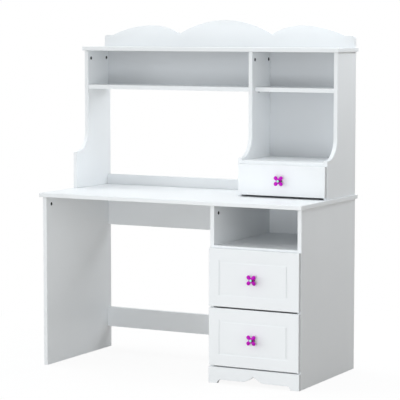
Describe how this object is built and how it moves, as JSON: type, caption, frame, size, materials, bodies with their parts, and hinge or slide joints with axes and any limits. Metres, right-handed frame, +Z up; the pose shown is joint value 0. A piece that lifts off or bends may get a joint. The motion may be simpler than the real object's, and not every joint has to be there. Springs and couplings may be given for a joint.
{
  "type": "student desk with hutch",
  "caption": "White student desk with a knee space, a drawer pedestal with an open cubby, and a hutch with shelves, a small drawer and a scalloped crest.",
  "frame": {"origin": "on the floor, under the middle of the whole object's box, knobs included", "axes": "+X to the sitter's right, towards the pedestal; +Y to the back; +Z up"},
  "size_m": [1.256, 0.6076, 1.5089],
  "materials": {
    "white_board": "satin white paint",
    "thin_board": "matt white film",
    "drawer_board": "matt white film",
    "runner_strip": "matt",
    "raw_beech": "raw",
    "steel": "zinc plated",
    "dark_cam": "dark zinc",
    "magenta_knob": "gloss",
    "mint_button": "gloss"
  },
  "bodies": {
    "desk": {"desktop": "white_board", "left_side_panel": "white_board", "pedestal_inner_panel": "white_board", "right_side_panel": "white_board", "upper_back_rail": "white_board", "lower_back_rail": "white_board", "cubby_shelf": "white_board", "pedestal_bottom": "white_board", "base_valance": "white_board", "hutch_left_side": "white_board", "hutch_divider": "white_board", "hutch_right_side": "white_board", "hutch_top": "white_board", "hutch_crest": "white_board", "hutch_long_shelf": "white_board", "hutch_short_shelf": "white_board", "hutch_drawer_deck": "white_board", "hutch_back_rail": "white_board", "pedestal_back": "thin_board", "hutch_back_left": "thin_board", "hutch_back_right": "thin_board", "upper_drawer_runners": "runner_strip", "lower_drawer_runners": "runner_strip", "hutch_drawer_runners": "runner_strip", "cam_locks": "dark_cam", "dowels": "raw_beech", "cam_bolts": "steel", "crest_screws": "steel", "hutch_brackets": "steel", "bracket_screws": "steel", "shelf_pins": "steel", "runner_screws": "steel"},
    "upper_drawer": {"upper_drawer_front": "white_board", "upper_drawer_left_side": "drawer_board", "upper_drawer_right_side": "drawer_board", "upper_drawer_back": "drawer_board", "upper_drawer_bottom": "thin_board", "upper_drawer_dowels": "raw_beech", "upper_drawer_knob": "magenta_knob", "upper_drawer_knob_button": "mint_button", "upper_drawer_knob_screw": "steel"},
    "lower_drawer": {"lower_drawer_front": "white_board", "lower_drawer_left_side": "drawer_board", "lower_drawer_right_side": "drawer_board", "lower_drawer_back": "drawer_board", "lower_drawer_bottom": "thin_board", "lower_drawer_dowels": "raw_beech", "lower_drawer_knob": "magenta_knob", "lower_drawer_knob_button": "mint_button", "lower_drawer_knob_screw": "steel"},
    "hutch_drawer": {"hutch_drawer_front": "white_board", "hutch_drawer_left_side": "drawer_board", "hutch_drawer_right_side": "drawer_board", "hutch_drawer_back": "drawer_board", "hutch_drawer_bottom": "thin_board", "hutch_drawer_dowels": "raw_beech", "hutch_drawer_knob": "magenta_knob", "hutch_drawer_knob_button": "mint_button", "hutch_drawer_knob_screw": "steel"}
  },
  "joints": [
    {"name": "upper_drawer_slide", "type": "slide", "parent": "desk", "child": "upper_drawer", "axis": [0, -1, 0], "range_m": [0, 0.33]},
    {"name": "lower_drawer_slide", "type": "slide", "parent": "desk", "child": "lower_drawer", "axis": [0, -1, 0], "range_m": [0, 0.33]},
    {"name": "hutch_drawer_slide", "type": "slide", "parent": "desk", "child": "hutch_drawer", "axis": [0, -1, 0], "range_m": [0, 0.17]}
  ]
}
